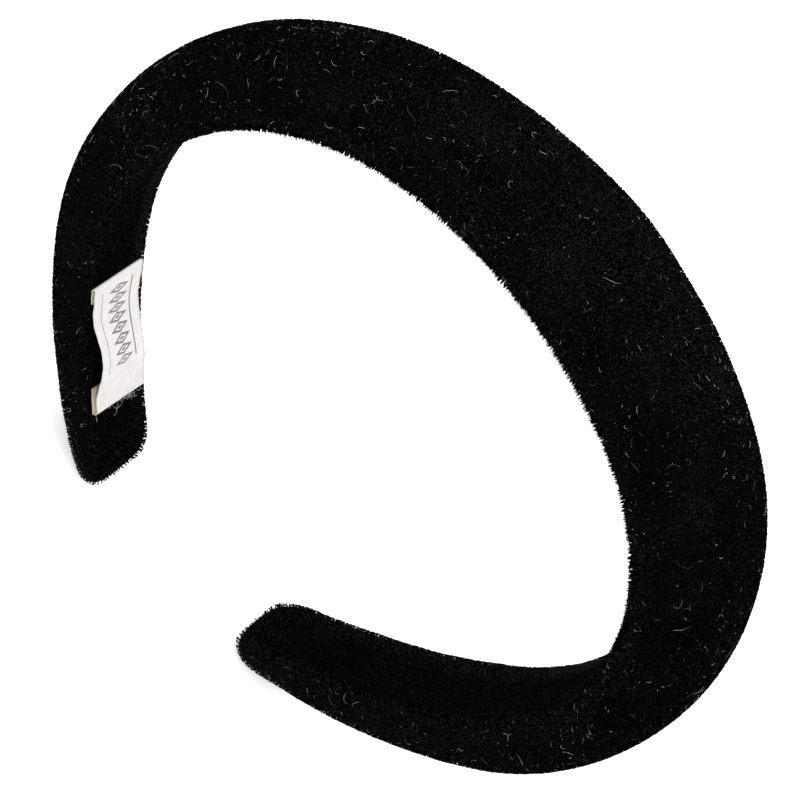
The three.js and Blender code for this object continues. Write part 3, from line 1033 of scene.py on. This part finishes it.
def thread_material(name, colour):
    """A single fibre of lint or sewing thread, too thin to carry a pattern of its own."""
    material, _, _ = node_material(
        name, Base_Color=(*colour, 1), Roughness=0.6, Sheen_Weight=0.3, Sheen_Roughness=0.3)
    return material


# -------------------- camera, light and floor

CAMERA_AZIMUTH = math.radians(-3.86)
CAMERA_ELEVATION = math.radians(47.87)
CAMERA_ROLL = math.radians(55.43)
CAMERA_DISTANCE = 0.8294
CAMERA_LENS = 186.0
CAMERA_SENSOR = 36
CAMERA_BELOW_CROWN = 0.060  # how far under the crown's line it aims, and then right and up of that
CAMERA_TO_RIGHT = 0.0036
CAMERA_TO_UP = 0.0022
FLOOR_HALF = 3.0
FLOOR_GLOW = 0.45
TENT_STRENGTH = 1.05
LAMPS_AIM = (0, 0, 0.08)
LAMPS = (("top_lamp", (0.25, -0.5, 1.0), 0.7, 3), ("back_lamp", (0.15, 0.9, 0.65), 0.6, 6))


def make_camera():
    """A long lens from above the wearer's face, tilted over so that the band runs diagonally."""
    az, el, roll = CAMERA_AZIMUTH, CAMERA_ELEVATION, CAMERA_ROLL
    back = Vector((math.sin(az) * math.cos(el), -math.cos(az) * math.cos(el), math.sin(el)))
    level = Vector((math.cos(az), math.sin(az), 0))
    upright = back.cross(level)
    right = level * math.cos(roll) + upright * math.sin(roll)
    up = upright * math.cos(roll) - level * math.sin(roll)
    middle = Vector((0, 0, CROWN_LINE_Z * MM - CAMERA_BELOW_CROWN))
    aim = middle + right * CAMERA_TO_RIGHT + up * CAMERA_TO_UP
    data = bpy.data.cameras.new("camera")
    data.lens = CAMERA_LENS
    data.sensor_width = CAMERA_SENSOR
    data.clip_start = 0.01
    camera = bpy.data.objects.new("camera", data)
    turned = Matrix((right, up, back)).transposed().to_4x4()
    camera.matrix_world = Matrix.Translation(aim + back * CAMERA_DISTANCE) @ turned
    bpy.context.scene.collection.objects.link(camera)
    bpy.context.scene.camera = camera


def make_floor():
    """A plain pale tabletop, wide enough for every view."""
    size = FLOOR_HALF
    corners = [(-size, -size, 0), (size, -size, 0), (size, size, 0), (-size, size, 0)]
    material, tree, shader = node_material(
        "pale_floor", Roughness=0.8, Emission_Color=(1, 1, 1, 1), Emission_Strength=FLOOR_GLOW)
    tone = noise_value(tree, 30, 3)
    colour = mixed_colour(tree, tone, (0.9, 0.9, 0.9, 1), (0.93, 0.93, 0.93, 1))
    tree.links.new(colour, shader.inputs["Base Color"])
    floor = new_mesh("floor", corners, [(0, 1, 2, 3)], [material], smooth=False)


def area_light(name, place_at, aim, size, power):
    data = bpy.data.lights.new(name, "AREA")
    data.shape = "DISK"
    data.size = size
    data.energy = power
    light = bpy.data.objects.new(name, data)
    light.location = place_at
    light.rotation_mode = "QUATERNION"
    light.rotation_quaternion = (Vector(aim) - Vector(place_at)).to_track_quat("-Z", "Y")
    bpy.context.scene.collection.objects.link(light)


def make_light():
    """Even white light from all round, as in a light tent, and two broad lamps: one above the
    crown and in front of it, and one behind the band."""
    world = bpy.data.worlds.new("tent")
    world.use_nodes = True
    world.node_tree.nodes["Background"].inputs["Color"].default_value = (1, 1, 1, 1)
    world.node_tree.nodes["Background"].inputs["Strength"].default_value = TENT_STRENGTH
    bpy.context.scene.world = world
    bpy.context.scene.view_settings.view_transform = "Standard"
    for name, place_at, size, power in LAMPS:
        area_light(name, place_at, LAMPS_AIM, size, power)


# -------------------- assembly


def bend(piece):
    """The piece's placing is baked into its mesh."""
    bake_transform(piece)


make_camera()
make_light()
make_floor()

grid = cloth_grid()
unevenness(grid)
settle(grid)
keep_above(grid["points"], FOOT_GROUND)
grid["normals"] = grid_normals(grid)

cover_cloth = velvet_ground("velvet_ground", (0.012, 0.0114, 0.0116, 1))
lining_cloth = velvet_ground("lining_ground", (0.008, 0.0076, 0.0077, 1))
# Three shades of pile, used for its random tone and for its painted light, shade and sheen.
pile_shades = [
    pile_material("pile_black", (0.0005, 0.00049, 0.00049), 0.036),
    pile_material("pile_soft_black", (0.0026, 0.00252, 0.00255), 0.05),
    pile_material("pile_grey_black", (0.0135, 0.013, 0.0132), 0.07),
]
foam = foam_material()
core = core_material()
lint_shades = [
    thread_material("lint_pale", (0.55, 0.53, 0.52)),
    thread_material("lint_grey", (0.2, 0.19, 0.19)),
    thread_material("lint_dim", (0.08, 0.075, 0.076)),
    thread_material("lint_dimmer", (0.05, 0.045, 0.046)),
]


def dress_half(side):
    """All the layers of one half of the band, with the CAD's own pieces for them hidden."""
    sign = SIDES[side]
    cover = cover_half(f"velvet_cover_{side}", grid, sign, cover_cloth)
    lining = half_loft(f"inner_lining_{side}", lining_outline, sign,
                       HALF_LENGTH - LINING_TO_TIP, [lining_cloth])
    core_strip = half_loft(f"core_band_{side}", core_outline, sign,
                           HALF_LENGTH - CORE_TO_TIP, [core])
    foam_pad = half_loft(f"foam_pad_{side}", foam_outline, sign,
                         HALF_LENGTH - FOAM_TO_TIP, [foam])
    pile = cover_pile(side, grid, pile_shades) + [lining_pile(side, pile_shades)]
    specks = lint(side, grid, lint_shades, LINT_COUNT)
    for piece in (cover, lining, core_strip, foam_pad, specks, *pile):
        bend(piece)
    for piece, layer, slot in (
        (cover, "velvet_cover", "velvet"), (lining, "inner_lining", "lining_velvet"),
        (core_strip, "core_band", "core_plastic"), (foam_pad, "foam_pad", "foam"),
    ):
        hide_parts(f"{layer}_crown", f"{layer}_{side}_arm")


for side in SIDES:
    dress_half(side)

label, ribbon_run = ribbon_label([])
label.data.materials.append(ribbon_material(ribbon_run))
label.data.materials.append(painted_fold_shade_material())
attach(label, "right_arm")
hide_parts("woven_label")
threads = label_threads(thread_material("frayed_white", (0.5, 0.48, 0.46)))
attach(threads, "right_arm")
